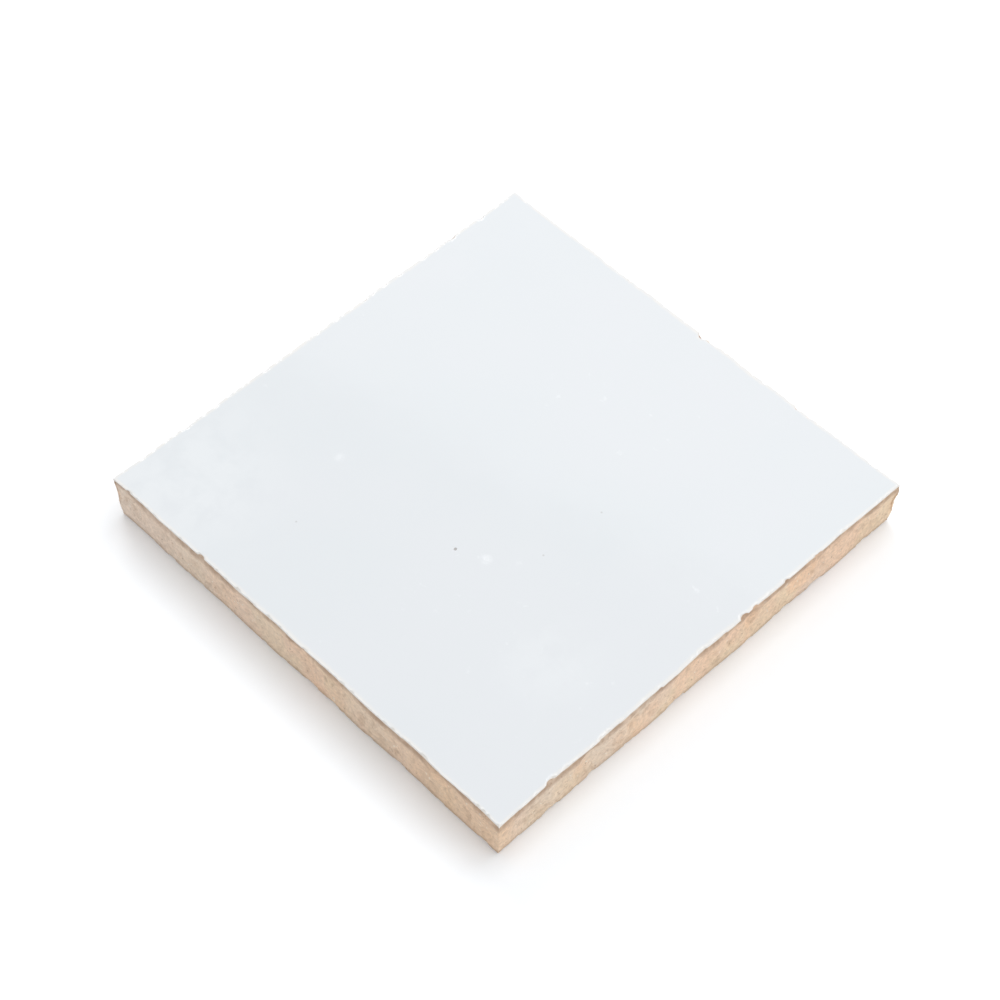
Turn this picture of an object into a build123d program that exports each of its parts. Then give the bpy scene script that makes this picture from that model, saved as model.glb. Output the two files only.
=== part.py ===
from build123d import *
import math
import os

# Zellige tile: a square field tile of fired clay with a white glazed face, its four sides cut by hand.
#
# The slab is moulded flat and glazed, and each side is then trimmed with a sharp hammer, stroke by stroke.
# The strokes lean inwards under the face, so that the glazed rims of two tiles meet while their backs stay
# apart.
#
# Millimetres. The origin is the centre of the back, which lies on the plane Z = 0, and the glazed face looks
# up. X runs along the front-left side and Y along the front-right side.

# Outline of the glazed face: the rectangle round it, and how far the hand-cut corners fall short of it
face_length = 100.3
face_width = 101.2
left_corner_short_y = 0.25
right_corner_short_y = 0.3
back_corner_short_x = 0.8

# Height of the crowned face above the back, and how far its corners and the middles of its sides sag
thickness = 11.0
left_corner_sag = 0.45
front_corner_sag = 0.3
right_corner_sag = 0.2
back_corner_sag = 0.5
side_sag = 0.15

# Rim: the nearly upright band under the edge of the face
rim_height = 1.4
rim_lean = 0.2
rim_waver = 0.25

# Flank under the rim: how far the back is cut in under each side, and the height at which the strokes break
front_left_undercut = 0.7
front_right_undercut = 0.95
back_right_undercut = 1.0
back_left_undercut = 0.9
undercut_play = 0.12
break_height = 3.8
break_bulge = 0.14
break_play = 0.1

# Hammer strokes along a side: their length, their least number, and how unevenly they follow each other
stroke_length = 7.0
fewest_strokes = 3
stroke_unevenness = 0.22

# How the hand wavers: how far each wave moves on from one stroke to the next, and from one side to the next
stroke_wave = (2.4, 1.0)
back_wave = (1.9, 1.3)
break_wave = (2.7, 0.8)
rim_wave = (1.3, 2.1)

# Chips off the edge of the face: side, distance from its first corner, length and depth
face_chips = [
    ("back_right", 48.6, 2.4, 1.0),
    ("back_right", 46.6, 5.8, 0.5),
    ("back_right", 24.4, 2.2, 0.5),
    ("back_right", 22.2, 4.8, 0.35),
    ("back_left", 17.2, 3.0, 0.5),
    ("back_left", 64.4, 2.2, 0.4),
    ("back_left", 83.7, 3.2, 0.45),
    ("front_right", 12.2, 2.6, 0.28),
    ("front_right", 60.3, 1.8, 0.24),
    ("front_right", 70.9, 2.0, 0.24),
    ("front_left", 11.3, 2.4, 0.2),
]

# Spalls off the edge of the back, each at the stroke's end nearest to a place: side, distance from its first
# corner, length and depth
back_spalls = [
    ("front_left", 18.7, 2.8, 0.25),
    ("front_left", 54.5, 3.6, 0.3),
    ("front_left", 84.3, 2.6, 0.22),
    ("front_right", 15.0, 3.2, 0.42),
    ("front_right", 20.2, 2.4, 0.32),
    ("front_right", 42.1, 3.0, 0.28),
    ("front_right", 79.0, 3.0, 0.3),
    ("back_right", 36.0, 5.4, 0.6),
    ("back_right", 76.0, 4.0, 0.45),
    ("back_left", 30.0, 5.2, 0.6),
    ("back_left", 66.0, 3.6, 0.4),
]

# What the blank has beyond the finished tile before its face is shaped
blank_allowance = 1.0

half_length = face_length / 2
half_width = face_width / 2

left_corner = Vector(-half_length, -half_width + left_corner_short_y)
front_corner = Vector(half_length, -half_width)
right_corner = Vector(half_length, half_width - right_corner_short_y)
back_corner = Vector(-half_length + back_corner_short_x, half_width)

# The sides, anticlockwise seen from above, each from its first corner to the next
sides = {
    "front_left": (left_corner, front_corner),
    "front_right": (front_corner, right_corner),
    "back_right": (right_corner, back_corner),
    "back_left": (back_corner, left_corner),
}
turn_of_side = {side: number for number, side in enumerate(sides)}
undercuts = (front_left_undercut, front_right_undercut, back_right_undercut, back_left_undercut)

rim_base = thickness - max(left_corner_sag, front_corner_sag, right_corner_sag, back_corner_sag) - rim_height
blank_height = thickness + blank_allowance


def along(side):
    """Unit vector along a side, from its first corner."""
    start, end = sides[side]
    return (end - start).normalized()


def inward(side):
    """Unit vector from a side towards the middle of the tile."""
    return along(side).rotate(Axis.Z, 90)


def waver(wave, turn, stroke):
    """A number from -1 to 1 that changes from stroke to stroke and from side to side."""
    by_stroke, by_side = wave
    return math.sin(by_stroke * stroke + by_side * turn)


def stroke_ends(side):
    """The side's first corner, and the points along it where one hammer stroke ends and the next begins."""
    start, end = sides[side]
    strokes = max(fewest_strokes, round((end - start).length / stroke_length))
    turn = turn_of_side[side]
    shares = [(i + stroke_unevenness * waver(stroke_wave, turn, i)) / strokes for i in range(1, strokes)]
    return [start] + [start + (end - start) * share for share in shares]


def outline(corner_inset, stroke_inset):
    """Closed outline at one height, drawn inside that of the face: by each side's own inset at its corners,
    and by its inset at each stroke's end."""
    names = list(sides)
    points = []
    for turn, side in enumerate(names):
        first, *ends = stroke_ends(side)
        before = turn - 1
        corner = first + inward(side) * corner_inset(turn)
        points.append(corner + inward(names[before]) * corner_inset(before))
        points += [end + inward(side) * stroke_inset(turn, stroke) for stroke, end in enumerate(ends, 1)]
    return Polyline(*points, close=True)


def back_corner_inset(turn):
    """Inset of a side of the back at its corners."""
    return undercuts[turn]


def back_inset(turn, stroke):
    """Inset of the back at a stroke's end: some strokes lean further in than others."""
    return undercuts[turn] + undercut_play * waver(back_wave, turn, stroke)


def break_corner_inset(turn):
    """Inset of a side at its corners where the strokes break: on the line from the rim to the back, less the
    bulge of the break."""
    return back_corner_inset(turn) * (1 - break_height / rim_base) - break_bulge


def break_inset(turn, stroke):
    """Inset where a stroke breaks: on the same line, less a bulge that differs from stroke to stroke."""
    on_the_line = back_inset(turn, stroke) * (1 - break_height / rim_base)
    return on_the_line - break_bulge + break_play * waver(break_wave, turn, stroke)


def rim_corner_inset(turn):
    """The rim is true at its corners."""
    return 0


def rim_inset(turn, stroke):
    """Inset of the rim, which wavers a little between its true corners."""
    return rim_waver * waver(rim_wave, turn, stroke) ** 2


def face_height(x, y):
    """Height of the warped face: a smooth patch through its crown, the middles of its sides and its
    corners."""
    u, v = x / half_length, y / half_width
    by_length = (u * (u - 1) / 2, 1 - u * u, u * (u + 1) / 2)
    by_width = (v * (v - 1) / 2, 1 - v * v, v * (v + 1) / 2)
    sags = (
        (left_corner_sag, side_sag, back_corner_sag),
        (side_sag, 0, side_sag),
        (front_corner_sag, side_sag, right_corner_sag),
    )
    sag = sum(p * q * sags[i][j] for i, p in enumerate(by_length) for j, q in enumerate(by_width))
    return thickness - sag


def controls(low, middle, high):
    """The three control heights of the parabola that passes through three heights."""
    return [low, 2 * middle - (low + high) / 2, high]


def face_surface():
    """The warped face as a surface, on a rectangle that reaches past the outline."""
    reach_x = half_length + blank_allowance
    reach_y = half_width + blank_allowance
    rows = [controls(*(face_height(x, y) for y in (-reach_y, 0, reach_y))) for x in (-reach_x, 0, reach_x)]
    columns = [controls(*column) for column in zip(*rows)]
    points = [
        [Vector(reach_x * (i - 1), reach_y * (j - 1), columns[j][i]) for j in range(3)] for i in range(3)
    ]
    return Face.make_bezier_surface(points)


def chip_radius(length, depth):
    """Radius of the ball that takes a shell-shaped chip of this length and depth off an edge."""
    return (length**2 / 4 + depth**2) / (2 * depth)


def chip_centre(side, edge, radius, depth, rise):
    """Centre of that ball, outside the edge on the line that halves it. The rise is 1 on the face and -1 on
    the back."""
    distance = (radius - depth) / math.sqrt(2)
    return edge - inward(side) * distance + Vector(0, 0, rise * distance)


def nearest_stroke(side, distance):
    """Number of the stroke whose end lies nearest to a distance along the side, and that end."""
    place = sides[side][0] + along(side) * distance
    return min(enumerate(stroke_ends(side)), key=lambda numbered: (numbered[1] - place).length)


with BuildPart() as zellige_tile:
    # Blank: outlines of the back, of the break of the strokes, of the rim's foot and of the top, joined by
    # facets
    with BuildSketch(Plane.XY):
        with BuildLine():
            outline(back_corner_inset, back_inset)
        make_face()
    with BuildSketch(Plane.XY.offset(break_height)):
        with BuildLine():
            outline(break_corner_inset, break_inset)
        make_face()
    with BuildSketch(Plane.XY.offset(rim_base)):
        with BuildLine():
            outline(rim_corner_inset, rim_inset)
        make_face()
    with BuildSketch(Plane.XY.offset(blank_height)):
        with BuildLine():
            blank_lean = rim_lean * (blank_height - rim_base) / rim_height
            outline(lambda turn: blank_lean, lambda turn, stroke: rim_inset(turn, stroke) + blank_lean)
        make_face()
    loft(ruled=True)

    # Face: what stands above the warped surface comes off
    extrude(face_surface(), amount=2 * blank_allowance, dir=(0, 0, 1), mode=Mode.SUBTRACT)

    # Chips off the edge of the face
    for side, distance, length, depth in face_chips:
        radius = chip_radius(length, depth)
        edge = sides[side][0] + along(side) * distance + inward(side) * rim_lean
        edge += Vector(0, 0, face_height(edge.X, edge.Y))
        with Locations(chip_centre(side, edge, radius, depth, 1)):
            Sphere(radius, mode=Mode.SUBTRACT)

    # Spalls off the edge of the back
    for side, distance, length, depth in back_spalls:
        radius = chip_radius(length, depth)
        stroke, edge = nearest_stroke(side, distance)
        edge += inward(side) * back_inset(turn_of_side[side], stroke)
        with Locations(chip_centre(side, edge, radius, depth, -1)):
            Sphere(radius, mode=Mode.SUBTRACT)

zellige_tile.part.label = "zellige_tile"

os.makedirs("parts", exist_ok=True)
export_step(zellige_tile.part, "parts/zellige_tile.step")
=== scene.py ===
import math
import bpy
import numpy as np
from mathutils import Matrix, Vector, noise
from mathutils.bvhtree import BVHTree


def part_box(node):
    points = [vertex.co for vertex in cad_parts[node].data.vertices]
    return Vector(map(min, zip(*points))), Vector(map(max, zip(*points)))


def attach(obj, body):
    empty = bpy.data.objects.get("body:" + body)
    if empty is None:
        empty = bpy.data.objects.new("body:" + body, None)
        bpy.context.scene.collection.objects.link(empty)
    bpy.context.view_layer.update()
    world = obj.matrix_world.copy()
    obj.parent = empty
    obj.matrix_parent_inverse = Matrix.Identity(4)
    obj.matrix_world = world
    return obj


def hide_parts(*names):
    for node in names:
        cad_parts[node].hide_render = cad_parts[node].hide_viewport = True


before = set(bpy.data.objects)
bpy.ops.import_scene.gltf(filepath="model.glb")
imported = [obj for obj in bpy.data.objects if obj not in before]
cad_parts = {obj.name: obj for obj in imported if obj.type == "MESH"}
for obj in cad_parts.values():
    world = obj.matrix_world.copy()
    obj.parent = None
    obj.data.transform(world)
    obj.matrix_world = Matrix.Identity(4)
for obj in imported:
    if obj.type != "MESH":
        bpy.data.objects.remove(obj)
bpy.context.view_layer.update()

# Zellige tile. The skin of its solid is read by rays, so that its points can be laid out evenly, and the fine
# forms of the glaze and of the torn clay are cut into them.

# Metres, with this name for sizes that are said in millimetres
MM = 0.001
UP = Vector((0, 0, 1))
SEED = 41

# Mesh: points along a side, and how many of them go to one point of the face's and of the back's grid
SIDE_POINTS = 450
ALL_COLUMNS = 4 * SIDE_POINTS
FACE_SHARE = 5
BACK_SHARE = 9

# How far inside the aim line those grids begin, as a share of a side
FACE_GRID_INSET = 0.012
BACK_GRID_INSET = 0.02

# Edges that turn more than this, in degrees, are shaded sharp
SHARP_ANGLE = 38

# The skin is read along rays that aim at a line inside the solid, this far in from the edge of the face. How
# far the flank lies from that line is read close under the face and close over the back.
AIM_INSET = 3.0 * MM
RAY_REACH = 40 * MM
TOP_READING_DEPTH = 0.7 * MM
FOOT_READING_HEIGHT = 0.3 * MM

# The face is fitted to heights read on a grid, at these shares of the aim line's sides, with places in the
# plan counted in this unit
FIT_SHARES = np.linspace(0.03, 0.97, 15)
PLAN_UNIT = 50 * MM

# Rows of rays: to each side of the edge of the back, up the flank, and to each side of the edge of the face.
# A power crowds them about the two edges.
BACK_EDGE_ROWS = 4
FLANK_ROWS = 14
FACE_EDGE_ROWS = 9
BACK_EDGE_CROWDING = 1.6
FACE_EDGE_CROWDING = 2.0
BACK_EDGE_ROW = BACK_EDGE_ROWS
FLANK_START_ROW = 2 * BACK_EDGE_ROWS
FACE_EDGE_ROW = FLANK_START_ROW + FLANK_ROWS + FACE_EDGE_ROWS

# Waves of the glaze, wide and small: their length, their depth in millimetres, by how many depths they are
# lowered, and where in the noise they are taken
WAVES = ((46 * MM, 0.05, 0.8, 3.7), (15 * MM, 0.016, 1, 8.1))

# A point this near to the fitted face belongs to it, and the waves fade out over this depth of the flank
FACE_PLAY = 0.06 * MM
WAVE_FADE = 2.5 * MM

# Where the edge of the face steps, in millimetres from each side's first corner: the two front sides as the
# photograph shows them, and the two back sides in the same manner
EDGE_STEPS = (
    (4.3, 11.3, 21.2, 27.7, 38.4, 49.2, 57.1, 63.5, 76.7, 86.0, 90.1, 94.9),
    (4.9, 11.1, 13.3, 24.3, 29.0, 38.9, 50.7, 55.5, 60.3, 70.9, 78.5, 82.7, 88.4),
    (7.7, 13.1, 19.8, 29.5, 34.2, 40.6, 54.4, 59.8, 68.0, 73.5, 84.1, 92.6),
    (6.2, 15.4, 19.3, 28.8, 35.0, 46.9, 52.3, 59.9, 72.4, 78.8, 88.5, 95.3),
)

# The steps: their greatest depth on each side, a power that keeps most of them shallow, how far down they
# reach in millimetres, and how wide a brim of the face moves with them
STEP_DEPTHS = (0.26 * MM, 0.26 * MM, 0.2 * MM, 0.18 * MM)
STEP_POWER = 1.4
STEP_REACH = (0.8, 4.5)
STEP_BRIM = 1.3 * MM

# Where the glaze has flaked off the edge down to the clay, for each front side: how far from the side's first
# corner, and how long the flake is, in millimetres
FLAKES = (
    ((4.3, 1.1), (24.4, 1.6), (51.5, 0.8)),
    ((12.2, 1.9), (39.0, 0.9), (60.3, 1.7), (70.9, 1.1), (78.5, 0.8)),
)

# A flake's depth, and the radii within which its glaze is thinnest and beyond which it is whole, as shares of
# its length
FLAKE_DEPTH_SHARE = 0.16
FLAKE_RADIUS_SHARES = (0.3, 0.8)

# Scoops out of the flanks: their length and depth in millimetres, and how far along the side, as a share of
# it, the first one lies and each next one follows
SCOOP_LENGTH = (4, 10)
SCOOP_DEPTH = (0.2, 0.7)
SCOOP_START = (0, 0.05)
SCOOP_STEP = (0.015, 0.06)

# Small chips off the edge of the face, mostly no bigger than a grain of sand, and rounder losses off the
# back. Lengths are in millimetres: the shortest, how much longer they get, and a power that keeps most of
# them short. Depths are shares of the length, up to a deepest one in millimetres.
FACE_CHIPS = dict(count=230, shortest=0.35, longer=1.5, power=4, depth=(0.1, 0.24), deepest=0.18)
BACK_CHIPS = dict(count=70, shortest=0.6, longer=3.0, power=2, depth=(0.07, 0.16), deepest=0.3)

# The shell of a bite is rippled, by a share of its radius. The ripples are this fine, and differ from place
# to place.
EDGE_RIPPLE = 0.02
SCOOP_RIPPLE = 0.002
RIPPLE_FINENESS = 14
RIPPLE_CHANGE = 900

# The clay's relief comes in between these depths under the face, and a point comes to belong to the back as
# the downward part of its unit normal grows from the first of these shares to the second
CLAY_DEPTHS = (0.34 * MM, 0.62 * MM)
BACK_TURN = (0.5, 0.9)

# Noises of the clay: the length of their largest waves in millimetres, their octaves, and where in the noise
# they are taken
BROAD_NOISE = (7, 2, 0.0)
ROUGH_NOISE = (5, 1, 17.0)
TORN_NOISE = (2.4, 3, 11.0)
GRAIN_NOISE = (0.7, 2, 5.0)

# The clay gets rougher as the rough noise rises from the first of these values to the second
ROUGH_RISE = (-0.35, 0.35)

# Clay relief, in millimetres: its least depth, broad swells, torn and grainy clay, more torn clay in the
# middle of a flank, and the share that the back lacks
RELIEF_LEAST = 0.03
SWELL_DEPTH = 0.08
TORN_DEPTH = 0.12
GRAIN_DEPTH = 0.09
MIDDLE_TORN_DEPTH = 0.16
BACK_SMOOTHNESS = 0.75

# The middle of a flank comes in over these heights above the back and these depths under the face
MIDDLE_HEIGHTS = (0.3 * MM, 2.5 * MM)
MIDDLE_DEPTHS = (0.5 * MM, 2.0 * MM)

# Millimetres from the edge that stand for the whole middle of the face
FAR_FROM_EDGE = 9.0


def smooth_step(low, high, value):
    """0 below low, 1 above high, and a smooth rise between."""
    share = np.clip((value - low) / (high - low), 0, 1)
    return share * share * (3 - 2 * share)


def fractal(points, scale, octaves, offset):
    """Smooth noise, about -1 to 1, whose largest waves are as long as the scale."""
    return np.array([noise.fractal(Vector(p), 1.0, 2.0, octaves) for p in points / scale + offset])


def crowded(rows, crowding):
    """Shares from -1 to 1, closest to each other about 0."""
    shares = np.linspace(-1, 1, 2 * rows + 1)
    return np.sign(shares) * np.abs(shares) ** crowding


def unit_normals(points):
    """Unit normals of rows and columns of points that close on themselves along a row."""
    along = np.roll(points, -1, axis=1) - np.roll(points, 1, axis=1)
    across = np.gradient(points, axis=0)
    made = np.cross(along, across)
    return made / np.maximum(np.linalg.norm(made, axis=-1, keepdims=True), 1e-12)


def ball_radius(length, depth):
    """Radius of the ball whose bite off an edge has this length and depth."""
    return (length**2 / 4 + depth**2) / (2 * depth)


def undulation(places):
    """The glaze's own waves, which only ever dip below the face."""
    flat = places * np.array([1, 1, 0])
    wide, small = (depth * (fractal(flat, length, 1, offset) - drop) for length, depth, drop, offset in WAVES)
    return (wide + small) * MM


def face_terms(places):
    """The terms of the face's polynomial, second order each way, at places in the plan."""
    x, y = places[..., 0] / PLAN_UNIT, places[..., 1] / PLAN_UNIT
    return np.stack([x**i * y**j for i in range(3) for j in range(3)], axis=-1)


class Skin:
    """The skin of the solid, read by rays."""

    def __init__(self, node):
        vertices = [v.co.copy() for v in node.data.vertices]
        self.tree = BVHTree.FromPolygons(vertices, [tuple(p.vertices) for p in node.data.polygons])
        upper = [v for v in vertices if v.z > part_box(node.name)[1].z / 2]
        diagonals = ((-1, -1), (1, -1), (1, 1), (-1, 1))
        self.corners = [max(upper, key=lambda v: sx * v.x + sy * v.y).xy for sx, sy in diagonals]
        self.aim_corners = [c - Vector(d) * AIM_INSET for c, d in zip(self.corners, diagonals)]
        self.face = self.fit_face()

    def hit(self, aim, outward):
        """Where the skin lies on the ray that comes from outside to the point aimed at."""
        place = self.tree.ray_cast(aim + outward * RAY_REACH, -outward)[0]
        if place is None:
            raise RuntimeError(f"the ray to {aim} misses the solid")
        return place

    def fit_face(self):
        """The warped face, as the polynomial that comes nearest to heights read on a grid."""
        places = [self.inside(u, v) for u in FIT_SHARES for v in FIT_SHARES]
        heights = [self.hit(Vector((p.x, p.y, 0)), UP).z for p in places]
        terms = face_terms(np.array([(p.x, p.y) for p in places]))
        return np.linalg.lstsq(terms, np.array(heights), rcond=None)[0]

    def inside(self, u, v):
        """A point in the plan, by its shares of the way along the aim line's sides."""
        a, b, c, d = self.aim_corners
        return a.lerp(b, u).lerp(d.lerp(c, u), v)

    def side(self, number):
        """The first and the last corner of a side."""
        return self.corners[number], self.corners[(number + 1) % 4]

    def face_height(self, points):
        """Height of the unchipped face over points in the plan."""
        return face_terms(points[..., :2]) @ self.face

    def column(self, inner, outward):
        """One column of points, from the back to the face, in the upright plane through an inner point."""
        crest = self.face_height(np.array([tuple(inner)]))[0]
        top = self.hit(Vector((*inner, crest - TOP_READING_DEPTH)), outward)
        foot = self.hit(Vector((*inner, FOOT_READING_HEIGHT)), outward)

        # The rays round an edge fan out from a point as far from the back or the face as from the flank
        low_aim, high_aim = (foot.xy - inner).length, crest - (top.xy - inner).length
        rays = []
        for share in crowded(BACK_EDGE_ROWS, BACK_EDGE_CROWDING):
            rays.append((low_aim, (share - 1) * math.pi / 4))
        for step in range(1, FLANK_ROWS):
            rays.append((low_aim + (high_aim - low_aim) * step / FLANK_ROWS, 0))
        for share in crowded(FACE_EDGE_ROWS, FACE_EDGE_CROWDING):
            rays.append((high_aim, (share + 1) * math.pi / 4))

        points = []
        for height, angle in rays:
            towards = outward * math.cos(angle) + UP * math.sin(angle)
            points.append(tuple(self.hit(Vector((*inner, height)), towards)))
        return points


class Band:
    """Rows of points round the tile's sides, from the aim line of the back up to that of the face, and what
    the kiln and the hammer did to them."""

    def __init__(self, skin, random):
        self.skin = skin
        self.random = random
        self.read()
        self.waves = undulation(self.points.reshape(-1, 3)).reshape(self.points.shape[:2])
        self.wave()
        self.nibble()
        for side in range(4):
            self.scoop_flank(side)
        self.flake_places = self.flake_edge()
        self.chip_edge(FACE_EDGE_ROW, **FACE_CHIPS)
        self.chip_edge(BACK_EDGE_ROW, **BACK_CHIPS)
        self.tear_clay()

    def read(self):
        """Reads the points: rows, columns, xyz. Also the unit vector outwards along each column's rays, and
        the one square to its side."""
        columns, outwards, facing = [], [], []
        for side in range(4):
            corner, next_corner = self.skin.side(side)
            aim, next_aim = self.skin.aim_corners[side], self.skin.aim_corners[(side + 1) % 4]
            along = (next_corner - corner).normalized()
            for step in range(SIDE_POINTS):
                share = step / SIDE_POINTS
                inner = aim.lerp(next_aim, share)
                outward = (corner.lerp(next_corner, share) - inner).normalized().to_3d()
                columns.append(self.skin.column(inner, outward))
                outwards.append(tuple(outward))
                facing.append((along.y, -along.x, 0))
        self.points = np.array(columns).transpose(1, 0, 2)
        self.outwards = np.array(outwards)
        self.facing = np.array(facing)

    def depth(self):
        """How deep each point lies under the waved but unchipped face, in metres."""
        return self.skin.face_height(self.points) + self.waves - self.points[..., 2]

    def wave(self):
        """Where the face was read, its small flats give way to the smooth waved surface, and the flank below
        it goes down with it."""
        face, height = self.skin.face_height(self.points), self.points[..., 2]
        row_numbers = np.arange(len(self.points))[:, None]
        on_face = (np.abs(face - height) < FACE_PLAY) & (row_numbers > len(self.points) // 2)
        fade = np.clip(1 - (face - height) / WAVE_FADE, 0, 1) * (row_numbers > FLANK_START_ROW)
        self.points[..., 2] = np.where(on_face, face + self.waves, height + self.waves * fade)

    def nibbled_edge(self):
        """How far the edge of the face is nibbled back at each column, and how deep each nibble reaches down:
        short sloping steps, as the hammer leaves them in the glaze."""
        inset, reach = np.zeros(ALL_COLUMNS), np.zeros(ALL_COLUMNS)
        for side, (steps, depth) in enumerate(zip(EDGE_STEPS, STEP_DEPTHS)):
            corner, next_corner = self.skin.side(side)
            length = (next_corner - corner).length / MM
            ends = [0, *(round(step / length * SIDE_POINTS) for step in steps), SIDE_POINTS]
            for first, last in zip(ends, ends[1:]):
                stretch = slice(side * SIDE_POINTS + first, side * SIDE_POINTS + last)
                slope = np.sort(self.random.uniform(0, 1, 2))[:: self.random.choice((-1, 1))] ** STEP_POWER
                inset[stretch] = np.linspace(*slope, last - first) * depth
                reach[stretch] = self.random.uniform(*STEP_REACH) * MM
        return inset, reach

    def nibble(self):
        """Shifts the top of the flank and the brim of the face inwards by the nibbled edge."""
        inset, reach = self.nibbled_edge()
        out = np.einsum("rcx,cx->rc", self.points, self.outwards)
        from_outermost = out.max(axis=0) - out
        share = np.clip(1 - self.depth() / reach, 0, 1) * np.clip(1 - from_outermost / STEP_BRIM, 0, 1)
        self.points = self.points - self.outwards[None] * (inset * share)[..., None]

    def bite(self, centre, radius, ripple):
        """Takes a shell-shaped chip off: points inside the ball go out to its surface."""
        away = self.points - centre
        distance = np.linalg.norm(away, axis=-1)
        for place in zip(*np.nonzero(distance < radius * (1 + ripple))):
            direction = away[place] / distance[place]
            wave = noise.noise(Vector(direction * RIPPLE_FINENESS + centre * RIPPLE_CHANGE)) * ripple
            wanted = radius * (1 + wave)
            if distance[place] < wanted:
                self.points[place] = centre + direction * wanted

    def bite_edge(self, row, column, length, depth):
        """A bite off the edge of the face or of the back, which its row follows."""
        radius = ball_radius(length, depth)
        rise = 1 if row == FACE_EDGE_ROW else -1
        diagonal = (self.facing[column] + np.array([0, 0, rise])) / math.sqrt(2)
        self.bite(self.points[row, column] + diagonal * (radius - depth), radius, EDGE_RIPPLE)

    def scoop_flank(self, side):
        """Shallow shells that the hammer takes out of the middle of a flank, one beside the next. Each is as
        deep as it says, also where it overlaps another."""
        unscooped = self.points.copy()
        share = self.random.uniform(*SCOOP_START)
        while share < 1:
            column = side * SIDE_POINTS + int(share * SIDE_POINTS)
            row = FLANK_START_ROW + self.random.integers(1, FLANK_ROWS)
            length = self.random.uniform(*SCOOP_LENGTH) * MM
            depth = self.random.uniform(*SCOOP_DEPTH) * MM
            radius = ball_radius(length, depth)
            centre = unscooped[row, column] + self.facing[column] * (radius - depth)
            self.bite(centre, radius, SCOOP_RIPPLE)
            share += self.random.uniform(*SCOOP_STEP)

    def flake_edge(self):
        """Takes the flakes off, and gives their places in the plan and their two radii, in millimetres."""
        places = []
        for side, flakes in enumerate(FLAKES):
            corner, next_corner = self.skin.side(side)
            for distance, length in flakes:
                share = distance * MM / (next_corner - corner).length
                column = int((side + share) * SIDE_POINTS)
                self.bite_edge(FACE_EDGE_ROW, column, length * MM, length * FLAKE_DEPTH_SHARE * MM)
                radii = (radius_share * length for radius_share in FLAKE_RADIUS_SHARES)
                places.append((tuple(corner.lerp(next_corner, share) / MM), *radii))
        return places

    def chip_edge(self, row, count, shortest, longer, power, depth, deepest):
        """Chips anywhere along an edge."""
        for column in self.random.integers(0, ALL_COLUMNS, count):
            length = (shortest + longer * self.random.uniform(0, 1) ** power) * MM
            self.bite_edge(row, column, length, min(length * self.random.uniform(*depth), deepest * MM))

    def tear_clay(self):
        """Clay relief: torn and grainy, only ever inwards, and none in the glaze. It keeps how deep it goes
        and how far each point belongs to the back."""
        depth = self.depth()
        normals = unit_normals(self.points)
        flat = self.points.reshape(-1, 3)

        def waves(length, octaves, offset):
            return fractal(flat, length * MM, octaves, offset).reshape(depth.shape)

        in_clay = smooth_step(*CLAY_DEPTHS, depth)
        self.on_back = smooth_step(*BACK_TURN, -normals[..., 2])
        broad = waves(*BROAD_NOISE)
        rough = smooth_step(*ROUGH_RISE, waves(*ROUGH_NOISE))
        torn = np.abs(waves(*TORN_NOISE))
        grain = np.abs(waves(*GRAIN_NOISE))
        middle = smooth_step(*MIDDLE_HEIGHTS, self.points[..., 2]) * smooth_step(*MIDDLE_DEPTHS, depth)
        swell = SWELL_DEPTH * (0.5 + 0.5 * broad)
        relief = RELIEF_LEAST + swell + (0.4 + 0.6 * rough) * (TORN_DEPTH * torn + GRAIN_DEPTH * grain)
        relief += middle * (0.5 + 0.5 * rough) * MIDDLE_TORN_DEPTH * torn
        self.relief = np.clip(relief, 0, 1) * MM * in_clay * (1 - BACK_SMOOTHNESS * self.on_back)
        self.points = self.points - normals * self.relief[..., None]
        self.points[..., 2] = np.maximum(self.points[..., 2], 0)

    def from_edge(self):
        """How far each point of the face lies from its edge, in millimetres, and none beyond the edge."""
        distance = np.linalg.norm(self.points - self.points[FACE_EDGE_ROW], axis=-1) / MM
        distance[:FACE_EDGE_ROW] = 0
        return distance


def ring(row):
    """Numbers of the vertices in one row of the band."""
    return [row * ALL_COLUMNS + column for column in range(ALL_COLUMNS)]


def band_faces(lower, upper):
    """Quads between two rings of as many vertices."""
    return [(a, b, c, d) for a, b, c, d in zip(lower, lower[1:] + lower[:1], upper[1:] + upper[:1], upper)]


def strip_faces(fine, coarse, share):
    """Triangles from a fine ring in to one with fewer vertices."""
    made = []
    for number, corner in enumerate(coarse):
        after = coarse[(number + 1) % len(coarse)]
        chain = [fine[(number * share + step) % len(fine)] for step in range(share + 1)]
        half = share // 2
        made += [(chain[step], chain[step + 1], corner) for step in range(half)]
        made.append((chain[half], after, corner))
        made += [(chain[step], chain[step + 1], after) for step in range(half, share)]
    return made


def grid_points(skin, share, inset):
    """Points on the plane of the back, in a grid between four corners inside the aim line."""
    shares = np.linspace(inset, 1 - inset, SIDE_POINTS // share + 1)
    plan = np.array([tuple(skin.inside(u, v)) for v in shares for u in shares])
    return np.column_stack([plan, np.zeros(len(plan))])


def grid_faces(rim, share, start, looks_up):
    """Faces of a grid whose vertices are numbered from a start, and of the strip from a rim in to it."""
    size = SIDE_POINTS // share + 1
    numbers = np.arange(size**2).reshape(size, size) + start
    outer = [*numbers[0, :-1], *numbers[:-1, -1], *numbers[-1, :0:-1], *numbers[:0:-1, 0]]
    made = [face if looks_up else face[::-1] for face in strip_faces(rim, outer, share)]
    for v in range(size - 1):
        for u in range(size - 1):
            a, b, c, d = numbers[v, u], numbers[v, u + 1], numbers[v + 1, u + 1], numbers[v + 1, u]
            made.append((a, b, c, d) if looks_up else (a, d, c, b))
    return made


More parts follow.
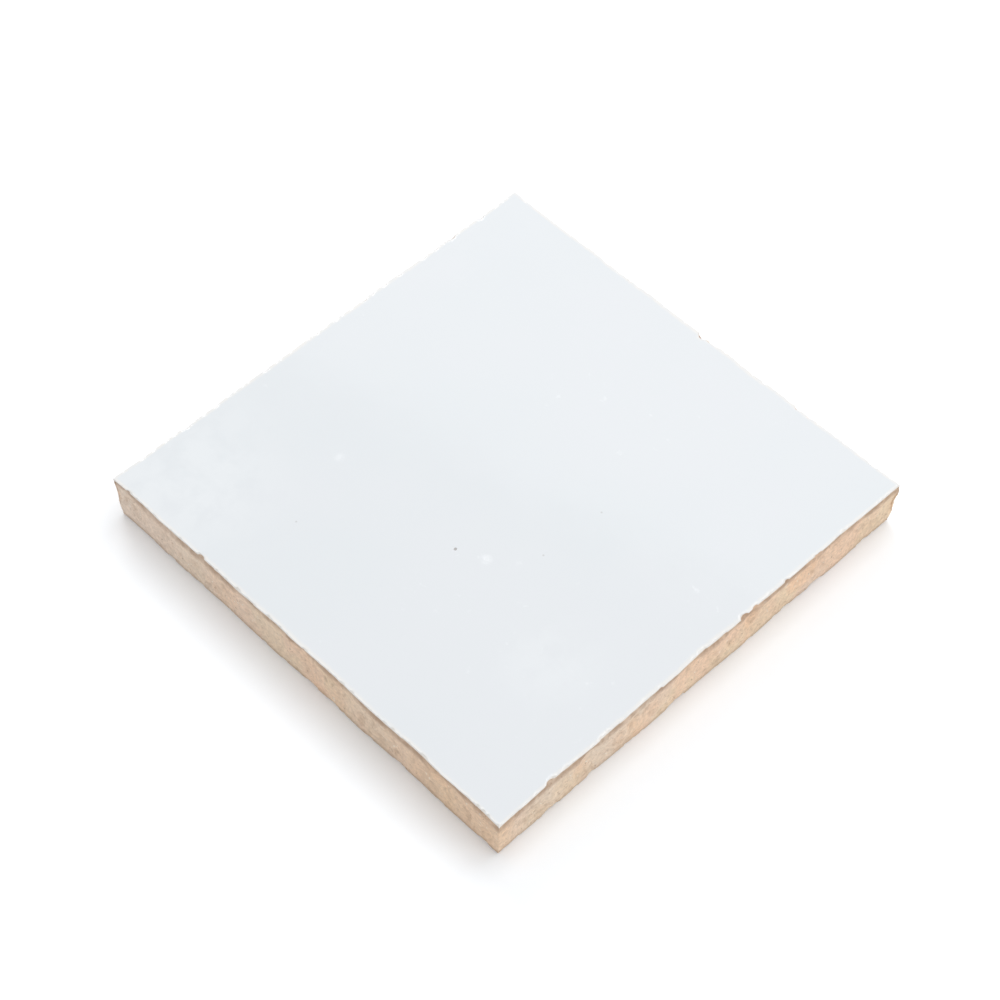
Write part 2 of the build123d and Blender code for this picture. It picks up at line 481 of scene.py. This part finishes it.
def tile_mesh(skin, band):
    """The tile's mesh: the rows of the band, and a grid inside it on the face and on the back. Its attributes
    are each point's depth under the face, its relief and its distance from the edge, in millimetres, and how
    far it belongs to the back."""
    face = grid_points(skin, FACE_SHARE, FACE_GRID_INSET)
    face[:, 2] = skin.face_height(face) + undulation(face)
    back = grid_points(skin, BACK_SHARE, BACK_GRID_INSET)
    vertices = np.concatenate([band.points.reshape(-1, 3), face, back])

    last_row = len(band.points) - 1
    face_start = len(band.points) * ALL_COLUMNS
    faces = []
    for row in range(last_row):
        faces += band_faces(ring(row), ring(row + 1))
    faces += grid_faces(ring(last_row), FACE_SHARE, face_start, looks_up=True)
    faces += grid_faces(ring(0), BACK_SHARE, face_start + len(face), looks_up=False)

    mesh = bpy.data.meshes.new("tile")
    mesh.from_pydata([tuple(v) for v in vertices.tolist()], [], [tuple(int(n) for n in f) for f in faces])
    mesh.validate()
    mesh.update()
    mesh.shade_smooth()
    mesh.set_sharp_from_angle(angle=math.radians(SHARP_ANGLE))

    on_face, on_back = np.ones(len(face)), np.ones(len(back))
    attributes = {
        "depth": (band.depth() / MM, 0 * on_face, skin.face_height(back) / MM),
        "relief": (band.relief / MM, 0 * on_face, 0 * on_back),
        "back": (band.on_back, 0 * on_face, on_back),
        "from_edge": (band.from_edge(), FAR_FROM_EDGE * on_face, FAR_FROM_EDGE * on_back),
    }
    for name, parts in attributes.items():
        values = np.concatenate([part.reshape(-1) for part in parts]).astype(np.float32)
        mesh.attributes.new(name, "FLOAT", "POINT").data.foreach_set("value", values)
    return mesh


def add_object(name, data):
    """A new object in the scene."""
    made = bpy.data.objects.new(name, data)
    bpy.context.scene.collection.objects.link(made)
    return made


# Sockets of the Mix node, which has its own for each type of value: the inputs for two numbers, the inputs
# for two colours and the output for a colour
MIX_NUMBER_A, MIX_NUMBER_B = 2, 3
MIX_COLOUR_A, MIX_COLOUR_B = 6, 7
MIX_COLOUR_OUT = 2


class Graph:
    """A material's node graph, written as expressions."""

    def __init__(self, name):
        self.material = bpy.data.materials.new(name)
        self.material.use_nodes = True
        self.nodes = self.material.node_tree.nodes
        self.links = self.material.node_tree.links
        self.shader = self.nodes["Principled BSDF"]

    def put(self, socket, value):
        """Links a socket to a node's output, or sets it to a value."""
        if isinstance(value, bpy.types.NodeSocket):
            self.links.new(value, socket)
        else:
            socket.default_value = value

    def node(self, kind, inputs, output=0, **settings):
        """An output of a new node, by its number or its name."""
        made = self.nodes.new("ShaderNode" + kind)
        for name, value in settings.items():
            setattr(made, name, value)
        for key, value in inputs.items():
            self.put(made.inputs[key], value)
        return made.outputs[output]

    def math(self, operation, *values):
        return self.node("Math", dict(enumerate(values)), operation=operation)

    def add(self, *values):
        total = values[0]
        for value in values[1:]:
            total = self.math("ADD", total, value)
        return total

    def times(self, a, b):
        return self.math("MULTIPLY", a, b)

    def weighted(self, *terms):
        """The sum of values, each times its weight."""
        return self.add(*(self.times(value, weight) for value, weight in terms))

    def scaled(self, places, factors):
        return self.node("VectorMath", {0: places, 1: factors}, operation="MULTIPLY")

    def rise(self, value, low, high, to_low=0.0, to_high=1.0):
        """A smooth change from one number to another as a value goes from low to high."""
        inputs = {"Value": value, "From Min": low, "From Max": high, "To Min": to_low, "To Max": to_high}
        return self.node("MapRange", inputs, interpolation_type="SMOOTHSTEP")

    def between(self, factor, a, b):
        """A number between two others."""
        return self.node("Mix", {0: factor, MIX_NUMBER_A: a, MIX_NUMBER_B: b}, data_type="FLOAT")

    def mix(self, factor, a, b, blend="MIX"):
        """One colour blended into another."""
        inputs = {0: factor, MIX_COLOUR_A: a, MIX_COLOUR_B: b}
        return self.node("Mix", inputs, MIX_COLOUR_OUT, data_type="RGBA", blend_type=blend)

    def layered(self, base, *layers):
        """A colour with others laid over it, each where its mask says and with its own strength."""
        for mask, strength, above in layers:
            base = self.mix(self.times(mask, strength), base, above)
        return base

    def noise(self, places, scale, detail=2.0, roughness=0.5):
        inputs = {"Vector": places, "Scale": scale, "Detail": detail, "Roughness": roughness}
        return self.node("TexNoise", inputs, "Fac")

    def attribute(self, name):
        return self.node("Attribute", {}, "Fac", attribute_name=name)

    def spot(self, places, centre, inner, outer):
        """1 within an inner radius of an upright line over a place in the plan, 0 beyond an outer one."""
        in_plan = self.scaled(places, (1.0, 1.0, 0.0))
        distance = self.node("VectorMath", {0: in_plan, 1: (*centre, 0.0)}, "Value", operation="DISTANCE")
        return self.rise(distance, inner, outer, 1, 0)


def colour(red, green, blue):
    return (red, green, blue, 1.0)


# Colours of the glaze
GLAZE_WHITE = colour(0.708, 0.734, 0.754)
GLAZE_CLOUD = colour(0.717, 0.737, 0.758)
GLAZE_PALE = colour(0.762, 0.784, 0.800)
GLAZE_MILKY = colour(0.80, 0.82, 0.84)
GLAZE_PINHOLE = colour(0.36, 0.33, 0.31)
# The glaze's creamy rim: partly where it thins out, partly a painted highlight along the arris
GLAZE_THIN_AND_HIGHLIGHT = colour(0.80, 0.78, 0.75)
GLAZE_BROKEN = colour(0.785, 0.750, 0.70)

# Colours of the clay
CLAY_PEACH = colour(0.83, 0.600, 0.435)
CLAY_YELLOW = colour(0.80, 0.620, 0.44)
CLAY_ORANGE = colour(0.85, 0.570, 0.375)
CLAY_GREY = colour(0.765, 0.640, 0.535)
CLAY_WARM = colour(0.81, 0.540, 0.330)
CLAY_GRAIN = colour(0.42, 0.27, 0.175)
CLAY_LIME = colour(0.86, 0.80, 0.71)
# Painted shade in the pits of the clay's relief
CLAY_PIT_SHADE = colour(0.46, 0.31, 0.205)
# The line under the glaze: partly the body's own scorched line, partly painted shade under the glaze's edge
CLAY_SCORCHED_AND_SHADED = colour(0.41, 0.275, 0.19)
# Painted contact shade along the foot of the flanks
CLAY_FOOT_SHADE = colour(0.45, 0.32, 0.23)
CLAY_VOID = colour(0.40, 0.27, 0.18)

# Marks on the glaze: place in the plan, radius of the full mark and radius where it ends, in millimetres, and
# its strength
PALE_PATCHES = (((-42.0, -41.0), 4, 26, 1), ((33.0, -22.0), 2, 13, 0.7))
MILKY_SPOTS = (((9.9, -14.6), 0.2, 1.5, 1), ((-24.8, -17.9), 0.2, 1.4, 0.6))
PINHOLES = (((4.5, -16.9), 0.16, 0.42, 1),)
SPECKS = tuple((place, 0.05, 0.3, 1) for place in ((-19.6, -33.0), (16.3, -6.7), (16.9, 7.3)))


class GlazedClay(Graph):
    """Cool white glaze over peach clay, told apart by how deep a point lies under the face. Lengths are in
    millimetres, and a noise's scale is in waves to the millimetre."""

    def __init__(self, flake_places):
        super().__init__("glazed_clay")
        object_places = self.node("TexCoord", {}, "Object")
        self.places = self.node("VectorMath", {0: object_places, "Scale": 1 / MM}, operation="SCALE")
        self.depth = self.attribute("depth")
        self.on_back = self.attribute("back")

        # The glaze is about half a millimetre thick and uneven, and thin where it has flaked off
        thickness = self.patches(0.35, 0.3, 0.7, 0.3, 0.5, detail=3)
        flakes = (self.spot(self.places, *flake) for flake in flake_places)
        flaked = self.add(self.patches(0.2, 0.60, 0.68), *flakes)
        thickness = self.times(thickness, self.rise(flaked, 0, 1, 1, 0.15))
        self.under_glaze = self.math("SUBTRACT", self.depth, thickness)
        self.in_clay = self.rise(self.under_glaze, -0.02, 0.04)
        self.broken_edge = self.rise(self.depth, 0.03, 0.14)

        # Marks that show in the colour and in the bump
        self.pinholes = self.marks(PINHOLES)
        self.specks = self.marks(SPECKS)
        self.milky = self.milky_marks()
        self.grains = self.patches(2.1, 0.64, 0.73, 0, 0.7)
        self.voids = self.times(self.patches(0.42, 0.70, 0.76), self.on_back)

        self.put(self.shader.inputs["Base Color"], self.mix(self.in_clay, self.glaze(), self.clay()))
        self.put(self.shader.inputs["Roughness"], self.roughness())
        self.put(self.shader.inputs["Normal"], self.bump())

    def patches(self, scale, low, high, to_low=0.0, to_high=1.0, detail=2.0, roughness=0.5, places=None):
        """Soft patches: a smooth change from one number to another as a noise goes from low to high."""
        places = self.places if places is None else places
        return self.rise(self.noise(places, scale, detail, roughness), low, high, to_low, to_high)

    def marks(self, spots):
        """Round marks on the glaze, each with its own strength."""
        return self.weighted(*((self.spot(self.places, *spot), strength) for *spot, strength in spots))

    def milky_marks(self):
        """Milky spots, uneven inside, and a few faint flecks."""
        spots = self.times(self.marks(MILKY_SPOTS), self.patches(0.9, 0.36, 0.58, 0.25, 1.0, 3, 0.6))
        flecks = self.patches(0.5, 0.66, 0.80, roughness=0.6)
        flecks = self.times(flecks, self.patches(0.04, 0.5, 0.65, detail=1))
        return self.math("MAXIMUM", spots, self.times(flecks, 0.5))

    def glaze(self):
        """A cool white with faint cloudy patches, creamy and lighter along its edge, partly where it thins
        out and partly as a painted highlight along the arris, and duller where the edge is broken."""
        cloudy = self.patches(0.03, 0.35, 0.65)
        pale = self.times(self.marks(PALE_PATCHES), self.patches(0.16, 0.34, 0.62, detail=3, roughness=0.6))
        # Along the edge the glaze is lighter and warmer: partly its thinning, partly a painted highlight
        # along the arris
        thin_edge_and_highlight = self.rise(self.attribute("from_edge"), 0.15, 1.0, 1, 0)
        thin_edge_and_highlight = self.times(thin_edge_and_highlight, self.patches(0.8, 0.3, 0.6, 0.5, 1, detail=3))
        return self.layered(
            self.mix(cloudy, GLAZE_WHITE, GLAZE_CLOUD),
            (pale, 0.6, GLAZE_PALE),
            (self.milky, 1, GLAZE_MILKY),
            (self.weighted((self.pinholes, 0.75), (self.specks, 0.35)), 1, GLAZE_PINHOLE),
            (thin_edge_and_highlight, 0.85, GLAZE_THIN_AND_HIGHLIGHT),
            (self.broken_edge, 1, GLAZE_BROKEN),
        )

    def clay(self):
        """Peach, with yellow, orange and greyish patches, darker grains and pale lime specks."""
        x, y, z = (self.node("SeparateXYZ", {0: self.places}, axis) for axis in "XYZ")
        upright = self.scaled(self.places, (1.0, 1.0, 0.5))
        yellow = self.patches(0.11, 0.40, 0.60, places=upright)
        orange = self.patches(0.16, 0.52, 0.68, detail=1, roughness=0.4, places=upright)

        # Greyer towards the left corner, and warmer near the front one on the front-left side
        grey = self.patches(0.05, 0.50, 0.66, roughness=0.4, places=upright)
        grey = self.math("MINIMUM", self.add(grey, self.rise(x, -50, 20, 1.3, 0)), 1.4)
        warm = self.times(self.rise(x, 0, 45), self.rise(y, -48.5, -45, 1, 0))

        # The back is more even than the flanks
        patchiness = self.rise(self.on_back, 0, 1, 1, 0.5)
        fired = self.layered(
            self.mix(yellow, CLAY_PEACH, CLAY_YELLOW),
            (self.times(patchiness, orange), 0.7, CLAY_ORANGE),
            (self.times(patchiness, grey), 0.6, CLAY_GREY),
            (warm, 0.5, CLAY_WARM),
        )
        fired = self.mix(1.0, fired, self.patches(1.3, 0.3, 0.75, 0.86, 1.10, 4, 0.65), "MULTIPLY")
        lime = self.patches(1.5, 0.70, 0.77, 0, 0.7, detail=1, roughness=0.4)

        # Darker in its pits as painted shade; a dark line under the glaze, partly the body's own scorched
        # line and partly painted shade under the glaze's edge; and painted contact shade along its foot
        pit_shade = self.rise(self.attribute("relief"), 0.12, 0.28, 0, 0.5)
        pit_shade = self.times(pit_shade, self.patches(1.7, 0.35, 0.6, 0.35, 1, 3, 0.6))
        # Painted shade under the glaze's edge, together with the body's own scorched line
        scorch_and_shade = self.rise(self.under_glaze, 0, 0.08)
        scorch_and_shade = self.times(scorch_and_shade, self.rise(self.under_glaze, 0.4, 2.4, 1, 0))
        scorch_and_shade = self.times(scorch_and_shade, self.patches(0.45, 0.3, 0.65, 0.35, 0.9, detail=3))
        # Painted contact shade: the flanks darker towards the foot, none on the back
        foot = self.times(self.rise(z, 0.1, 1.5, 0.6, 0), self.math("SUBTRACT", 1.0, self.on_back))
        return self.layered(
            fired,
            (self.grains, 1, CLAY_GRAIN),
            (lime, 1, CLAY_LIME),
            (pit_shade, 1, CLAY_PIT_SHADE),
            (scorch_and_shade, 1, CLAY_SCORCHED_AND_SHADED),
            (foot, 1, CLAY_FOOT_SHADE),
            (self.voids, 0.5, CLAY_VOID),
        )

    def roughness(self):
        """The glaze mirrors softly; its broken edge and the clay do not."""
        glossy = self.between(self.broken_edge, self.patches(0.12, 0.3, 0.7, 0.06, 0.10), 0.32)
        return self.between(self.in_clay, glossy, self.patches(0.7, 0.3, 0.7, 0.82, 0.95))

    def bump(self):
        """Ripples and marks in the glaze; sand and lumps in the clay, with scrapes and voids on the back."""
        wide, small = self.noise(self.places, 0.17, 1), self.noise(self.places, 0.5)
        ripples = self.weighted((wide, 0.012), (small, 0.0035))
        marks = self.weighted((self.pinholes, -0.10), (self.specks, -0.01), (self.milky, 0.02))
        scrapes = self.noise(self.scaled(self.places, (0.10, 1.3, 1.0)), 1.0, 3, 0.6)
        clay_height = self.weighted(
            (self.noise(self.places, 3.2, 3, 0.7), 0.11),
            (self.noise(self.places, 0.9, 3, 0.6), 0.12),
            (self.grains, -0.08),
            (self.times(scrapes, self.on_back), 0.16),
            (self.voids, -0.3),
        )
        height = self.between(self.in_clay, self.add(ripples, marks), clay_height)
        return self.node("Bump", {"Height": height, "Distance": MM, "Strength": 1.0})


skin = Skin(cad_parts["zellige_tile"])
band = Band(skin, np.random.default_rng(SEED))
tile = add_object("tile", tile_mesh(skin, band))
tile.data.materials.append(GlazedClay(band.flake_places).material)
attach(tile, "root")
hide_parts("zellige_tile")

# Floor: plain white paper just under the tile, a little cool against the warm light off the clay
FLOOR_HALF = 20.0
FLOOR_GAP = 0.02 * MM
FLOOR_COLOUR = colour(0.925, 0.947, 0.97)
FLOOR_ROUGHNESS = 0.9
FLOOR_SPECULAR = 0.1
FLOOR_GLOW = 0.03


def white_floor():
    corners = ((-1, -1), (1, -1), (1, 1), (-1, 1))
    mesh = bpy.data.meshes.new("floor")
    mesh.from_pydata([(x * FLOOR_HALF, y * FLOOR_HALF, -FLOOR_GAP) for x, y in corners], [], [(0, 1, 2, 3)])
    paper = Graph("white_sweep")
    paper.shader.inputs["Base Color"].default_value = FLOOR_COLOUR
    paper.shader.inputs["Roughness"].default_value = FLOOR_ROUGHNESS
    paper.shader.inputs["Specular IOR Level"].default_value = FLOOR_SPECULAR
    paper.shader.inputs["Emission Color"].default_value = colour(1, 1, 1)
    paper.shader.inputs["Emission Strength"].default_value = FLOOR_GLOW
    mesh.materials.append(paper.material)
    return add_object("floor", mesh)


floor = white_floor()

# Light: an even white surrounding and four soft panels. The near edge of the far panel is the soft line on
# the glaze.
SURROUNDING_COLOUR = colour(0.98, 0.99, 1.0)
SURROUNDING_STRENGTH = 0.71

world = bpy.data.worlds.new("studio")
bpy.context.scene.world = world
world.use_nodes = True
world.node_tree.nodes["Background"].inputs["Color"].default_value = SURROUNDING_COLOUR
world.node_tree.nodes["Background"].inputs["Strength"].default_value = SURROUNDING_STRENGTH


def soft_panel(name, centre, size, power, lean=0, turn=0):
    """A rectangular soft light, level or leant about the Y axis and then turned about the Z axis."""
    light = bpy.data.lights.new(name, "AREA")
    light.shape = "RECTANGLE"
    light.size, light.size_y = size
    light.energy = power
    panel = add_object(name, light)
    panel.location = centre
    panel.rotation_euler = (0, math.radians(lean), math.radians(turn))


soft_panel("key_panel", centre=(0.05, 0.5, 1.4), size=(0.94, 1.3), power=8.0)
soft_panel("left_panel", centre=(-1.5, 0.8, 1.3), size=(0.9, 0.9), power=12.0)
soft_panel("right_panel", centre=(1.45, 0.52, 0.55), size=(0.8, 1.0), power=3.8, lean=70, turn=20)
soft_panel("far_panel", centre=(-0.555, 0.735, 1.0), size=(1.1, 0.43), power=0.88, turn=12)

# Camera: where the photograph was taken from, with a longer lens
AZIMUTH = math.radians(45.75)
ELEVATION = math.radians(53.8)
DISTANCE = 0.512
LENS = 102.0
CLIP_START = 0.01
AIM = Vector((0, -0.0015, 0.0065))

towards_camera = Vector((
    math.sin(AZIMUTH) * math.cos(ELEVATION),
    -math.cos(AZIMUTH) * math.cos(ELEVATION),
    math.sin(ELEVATION),
))
camera = add_object("camera", bpy.data.cameras.new("camera"))
camera.data.lens = LENS
camera.data.clip_start = CLIP_START
camera.location = AIM + towards_camera * DISTANCE
camera.rotation_euler = (-towards_camera).to_track_quat("-Z", "Y").to_euler()
bpy.context.scene.camera = camera
bpy.context.scene.view_settings.view_transform = "Standard"
